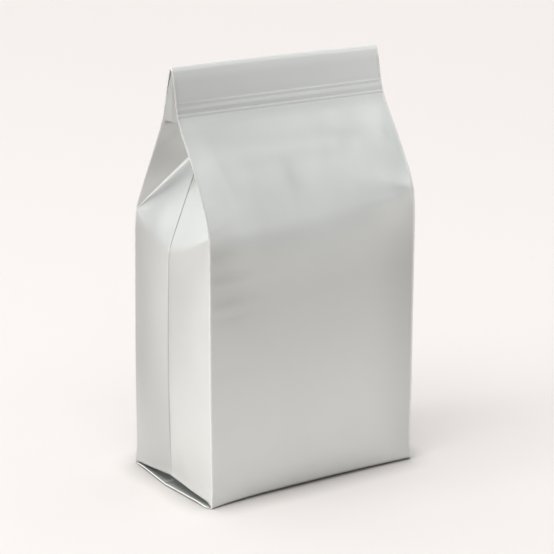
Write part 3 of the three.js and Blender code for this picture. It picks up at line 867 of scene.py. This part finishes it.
CLOUD = 35                  # patches of the matt lacquer that look a shade greyer
CLOUD_SHADE = 0.96          # and have this share of the film's colour
DASH = 4                    # length of the dashes in which a rubbed fold's lacquer is worn
DASH_LEAST = 0.8            # wear between the dashes, as a share
STREAK = 6                  # width of the gloss streaks along the film's running direction
STREAK_STRETCH = (1, 1, 0.08)   # they are long upwards
GLOSS_DRIFT, STREAK_DRIFT = 0.03, 0.01      # how much the roughness changes with clouds and with streaks
SWELLING = 16               # slack film's soft swellings
GRAIN, GRAIN_HEIGHT = 0.5, 0.004    # the lacquer's tooth
CRAZED_METAL = 0.35         # how metallic a rubbed fold still is
MOST_NOISE = (0.35, 0.65)   # ranges of a noise: clear steps between its lumps,
SOFT_NOISE = (0.3, 0.7)     # softer ones
WORN_NOISE = (0.35, 0.6)    # and one that reads as fully worn over more of the fold
PAPER_ROUGHNESS, PAPER_SPECULAR = 0.9, 0.1
TOWARDS_LIGHT = (-0.55, 0.55, 0.63)     # direction from the floor to the left and back, where most light is
CONTACT_SAMPLES = 16


def add_node(tree, kind, settings=None, inputs=None):
    """Adds a node, sets its attributes, and fills its inputs with values or links from sockets."""
    node = tree.nodes.new(kind)
    for key, value in (settings or {}).items():
        setattr(node, key, value)
    for key, value in (inputs or {}).items():
        if isinstance(value, bpy.types.NodeSocket):
            tree.links.new(value, node.inputs[key])
        else:
            node.inputs[key].default_value = value
    return node


def new_material(name):
    """An empty node material, its tree and its output node."""
    material = bpy.data.materials.new(name)
    material.use_nodes = True
    tree = material.node_tree
    tree.nodes.clear()
    output = add_node(tree, "ShaderNodeOutputMaterial")
    return material, tree, output


def noise(tree, place, size_mm, detail=2.0, stretch=(1, 1, 1)):
    """Noise from 0 to 1 with lumps of about size_mm, longer along an axis whose stretch is below 1."""
    scaled = add_node(tree, "ShaderNodeVectorMath", {"operation": "MULTIPLY"}, {0: place, 1: stretch})
    node = add_node(tree, "ShaderNodeTexNoise", {}, {
        "Vector": scaled.outputs["Vector"], "Scale": 1 / (size_mm * MM), "Detail": detail})
    return node.outputs["Fac"]


def remap(tree, value, source, target):
    """The value taken from the source range onto the target range, and held at both ends."""
    node = add_node(tree, "ShaderNodeMapRange", {}, {
        "Value": value, "From Min": source[0], "From Max": source[1],
        "To Min": target[0], "To Max": target[1]})
    return node.outputs["Result"]


def blend(tree, share, first, second):
    """Two colours mixed by a share."""
    node = add_node(tree, "ShaderNodeMix", {"data_type": "RGBA", "blend_type": "MIX"}, {
        "Factor": share, 6: first, 7: second})
    return node.outputs[2]


def attribute(tree, name):
    """A number that the film's mesh holds for each of its points."""
    return add_node(tree, "ShaderNodeAttribute", {"attribute_name": name}).outputs["Fac"]


def satin_metallised_film(finish):
    """Laminate film, metallised and finished with matt lacquer: a broad satin sheen and no mirror image."""
    material, tree, output = new_material("satin_metallised_film")
    place = add_node(tree, "ShaderNodeTexCoord").outputs["Object"]

    # clouds of matt lacquer: parts of a panel look a shade greyer than others
    cloud = noise(tree, place, CLOUD, detail=3.0)
    greyer = [c * CLOUD_SHADE for c in linear_colour(finish.colour)[:3]] + [1.0]
    film = blend(tree, remap(tree, cloud, MOST_NOISE, (0, 1)), greyer, linear_colour(finish.colour))
    # painted light and shade: the film's colour is mixed towards a dark shade where shade is painted in, and
    # kept pale where light is
    film = blend(tree, attribute(tree, "in_painted_shade"), film, linear_colour(finish.painted_shade_colour))
    # painted shade: one thin dark line painted into the gussets' inward crease
    film = blend(tree, attribute(tree, "crease_shade"), film, linear_colour(finish.crease_shade_colour))
    # rubbed folds: the lacquer is worn in dashes, and the fine pale edge lines are partly this wear and
    # partly a painted highlight
    dashes = remap(tree, noise(tree, place, DASH), WORN_NOISE, (DASH_LEAST, 1))
    rubbed_and_highlit = add_node(tree, "ShaderNodeMath", {"operation": "MULTIPLY"}, {
        0: attribute(tree, "wear_and_highlight"), 1: dashes}).outputs[0]
    colour = blend(tree, rubbed_and_highlit, film, linear_colour(finish.worn_highlight_colour))

    # the gloss drifts with the clouds, and streaks along the film's running direction
    streak = noise(tree, place, STREAK, stretch=STREAK_STRETCH)
    drift = (finish.roughness - GLOSS_DRIFT, finish.roughness + GLOSS_DRIFT)
    gloss = add_node(tree, "ShaderNodeMath", {"operation": "ADD"}, {
        0: remap(tree, cloud, SOFT_NOISE, drift),
        1: remap(tree, streak, SOFT_NOISE, (-STREAK_DRIFT, STREAK_DRIFT))}).outputs[0]

    # slack film: low wide swellings, which give the panels their uneven sheen
    swell = add_node(tree, "ShaderNodeBump", {}, {
        "Height": noise(tree, place, SWELLING, detail=1.0), "Distance": finish.slack, "Strength": 1.0})
    # the lacquer's grain is finer than a pixel, so it is drawn coarser: a faint satin tooth
    grain = add_node(tree, "ShaderNodeBump", {}, {
        "Height": noise(tree, place, GRAIN, detail=1.0), "Distance": GRAIN_HEIGHT * MM, "Strength": 1.0,
        "Normal": swell.outputs["Normal"]})
    # rubbed folds are pale and matt where the metal layer is crazed, which also paints their highlight
    metal = remap(tree, rubbed_and_highlit, (0, 1), (1, CRAZED_METAL))
    shader = add_node(tree, "ShaderNodeBsdfPrincipled", {}, {
        "Base Color": colour, "Metallic": metal, "Roughness": gloss, "Normal": grain.outputs["Normal"]})
    tree.links.new(shader.outputs[0], output.inputs["Surface"])
    return material


def seamless_studio_paper(look):
    """Matt coated paper: even and pale, with hardly any sheen."""
    material, tree, output = new_material("seamless_studio_paper")
    # the paper is darker close beside whatever hides the light from the left and back: a soft contact shadow
    lit = add_node(tree, "ShaderNodeAmbientOcclusion", {"samples": CONTACT_SAMPLES}, {
        "Distance": look.contact_reach, "Normal": TOWARDS_LIGHT})
    dark, pale = linear_colour(look.contact_colour), linear_colour(look.floor_colour)
    paper = blend(tree, lit.outputs["AO"], dark, pale)
    shader = add_node(tree, "ShaderNodeBsdfPrincipled", {}, {
        "Base Color": paper, "Roughness": PAPER_ROUGHNESS, "Specular IOR Level": PAPER_SPECULAR})
    tree.links.new(shader.outputs[0], output.inputs["Surface"])
    return material


# ---------------------------------------------------------------- operators

class BAG_OT_film(bpy.types.Operator):
    """Build the bag's film skin"""

    bl_idname = "bag.film"
    bl_label = "Film bag"

    def execute(self, context):
        scene = context.scene
        shape = BagShape(scene.bag_sizes)
        rings, names = shape.rings()
        tent_foot, diagonal = np.flatnonzero(names == "tent")[[0, -1]]
        soften_fold(rings, tent_foot, *TENT_FOOT_SOFTENED)
        soften_fold(rings, diagonal, *DIAGONAL_SOFTENED)
        mesh, first = skin_mesh("bag_film", rings)
        height = rings[..., 2]
        layers = {"wear_and_highlight": shape.wear_and_highlight(names), "crease_shade": shape.crease_shade(names, height),
                  "in_painted_shade": shape.painted_light_and_shade(names, height)}
        for name, values in layers.items():
            layer = mesh.attributes.new(name, "FLOAT", "POINT")
            layer.data.foreach_set("value", values.ravel()[first].astype(np.float32))
        mesh.materials.append(satin_metallised_film(scene.film_finish))
        piece = bpy.data.objects.new("bag_film", mesh)
        scene.collection.objects.link(piece)
        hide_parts("bag")
        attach(piece, "root")
        return {"FINISHED"}


FLOOR_RADIUS, FLOOR_SIDES = 6.0, 96     # in metres
MIDDLE = Vector((0.0, 0.0, 0.100))      # the point near the bag's middle that the lights and the camera face
CAMERA_OFFSET = (0.0011, -0.0089)       # in metres, from that line of sight to the camera's right and upwards
CAMERA_CLIP = (0.05, 50.0)
SENSOR_WIDTH = 36.0
IMAGE_SIDE = 554                        # the picture is square, this many pixels a side

# the studio's soft boxes: direction from the bag, in degrees from its right towards its back and upwards,
# distance, width and height in metres, and brightness
SOFT_BOXES = [
    ("left_high", 180, 50, 4.0, 3.2, 2.4, 1.95),
    ("left_slim", 165, 12, 4.0, 1.2, 1.6, 3.15),
    ("left_near", 180, 15, 1.4, 1.0, 0.5, 2.2),
    ("back_slim", 120, 12, 4.0, 1.2, 1.6, 2.05),
    ("back_high", 120, 50, 4.0, 3.2, 2.4, 0.75),
    ("back", 90, 17, 4.0, 2.6, 2.2, 0.6),
    ("back_right", 45, 17, 4.0, 2.6, 2.2, 1.45),
    ("right_high", 0, 50, 4.0, 3.2, 2.4, 1.0),
    ("right_front", 315, 17, 4.0, 2.6, 2.2, 0.55),
    ("front_pool", 304, 40, 1.2, 0.5, 0.5, 0.8),
    ("over_camera", 240, 50, 4.0, 3.2, 2.4, 1.45),
    ("overhead", 0, 90, 4.0, 3.0, 3.0, 0.3),
]


def soft_box(name, azimuth, elevation, distance, width, height, radiance):
    """A large rectangular light that faces the bag. Its power in watts is radiance times pi times area."""
    light = bpy.data.lights.new(name, "AREA")
    light.shape = "RECTANGLE"
    light.size, light.size_y = width, height
    light.energy = radiance * math.pi * width * height
    a, e = math.radians(azimuth), math.radians(elevation)
    place = distance * Vector((math.cos(a) * math.cos(e), math.sin(a) * math.cos(e), math.sin(e)))
    lamp = bpy.data.objects.new(name, light)
    lamp.location = place
    lamp.rotation_euler = (MIDDLE - place).to_track_quat("-Z", "Y").to_euler()
    bpy.context.scene.collection.objects.link(lamp)


class BAG_OT_stage(bpy.types.Operator):
    """Lay the floor and set the lights and the camera"""

    bl_idname = "bag.stage"
    bl_label = "Studio"

    def execute(self, context):
        scene = context.scene
        look = scene.stage_look
        self.lay_floor(scene, look)
        self.light(scene, look)
        self.set_camera(scene, look)
        return {"FINISHED"}

    def lay_floor(self, scene, look):
        """A flat disc, its rim on a circle."""
        turn = 2 * np.pi * even(FLOOR_SIDES)[:-1]
        rim = FLOOR_RADIUS * xyz(np.cos(turn), np.sin(turn), 0.0)
        mesh = bpy.data.meshes.new("floor")
        mesh.from_pydata(rim.tolist(), [], [list(range(len(rim)))])
        mesh.materials.append(seamless_studio_paper(look))
        floor = bpy.data.objects.new("floor", mesh)
        scene.collection.objects.link(floor)

    def light(self, scene, look):
        """The even light of the room, and the soft boxes."""
        world = bpy.data.worlds.new("room")
        world.use_nodes = True
        scene.world = world
        background = world.node_tree.nodes["Background"]
        background.inputs["Color"].default_value = linear_colour(look.room_colour)
        background.inputs["Strength"].default_value = look.room_strength
        for box in SOFT_BOXES:
            soft_box(*box)

    def set_camera(self, scene, look):
        """The camera sits back from the middle along the azimuth and pitch, is moved a little across its
        view, and turns by the roll."""
        a, e = look.azimuth, look.pitch
        back = Vector((math.sin(a) * math.cos(e), -math.cos(a) * math.cos(e), math.sin(e)))
        right = Vector((0, 0, 1)).cross(back).normalized()
        up = back.cross(right)
        place = MIDDLE + back * look.distance + right * CAMERA_OFFSET[0] + up * CAMERA_OFFSET[1]
        turned_right = right * math.cos(look.roll) + up * math.sin(look.roll)
        turned_up = up * math.cos(look.roll) - right * math.sin(look.roll)
        camera = bpy.data.objects.new("camera", bpy.data.cameras.new("camera"))
        camera.data.sensor_width = SENSOR_WIDTH
        camera.data.lens = SENSOR_WIDTH * look.focal_pixels / IMAGE_SIDE
        camera.data.clip_start, camera.data.clip_end = CAMERA_CLIP
        axes = Matrix((turned_right, turned_up, back)).transposed()
        camera.matrix_world = Matrix.Translation(place) @ axes.to_4x4()
        scene.collection.objects.link(camera)
        scene.camera = camera
        scene.view_settings.view_transform = "Standard"


class BAG_PT_panel(bpy.types.Panel):
    """Lists the bag's steps and settings"""

    bl_label = "Gusseted bag"
    bl_idname = "BAG_PT_panel"
    bl_space_type = "VIEW_3D"
    bl_region_type = "UI"
    bl_category = "Bag"

    def draw(self, context):
        for operator in OPERATORS:
            self.layout.operator(operator.bl_idname)
        for group in (context.scene.bag_sizes, context.scene.film_finish, context.scene.stage_look):
            box = self.layout.box()
            for key in group.__annotations__:
                box.prop(group, key)


OPERATORS = (BAG_OT_film, BAG_OT_stage)
CLASSES = (BagSizes, FilmFinish, StageLook, *OPERATORS, BAG_PT_panel)


def register():
    """Registers the classes and hangs the settings on the scene."""
    for each in CLASSES:
        bpy.utils.register_class(each)
    bpy.types.Scene.bag_sizes = bpy.props.PointerProperty(type=BagSizes)
    bpy.types.Scene.film_finish = bpy.props.PointerProperty(type=FilmFinish)
    bpy.types.Scene.stage_look = bpy.props.PointerProperty(type=StageLook)


def unregister():
    """Takes the settings and the classes away again, in the opposite order."""
    del bpy.types.Scene.stage_look
    del bpy.types.Scene.film_finish
    del bpy.types.Scene.bag_sizes
    for each in reversed(CLASSES):
        bpy.utils.unregister_class(each)


def main():
    """Runs the operators in order."""
    register()
    bpy.ops.bag.film()
    bpy.ops.bag.stage()


if __name__ == "__main__":
    main()
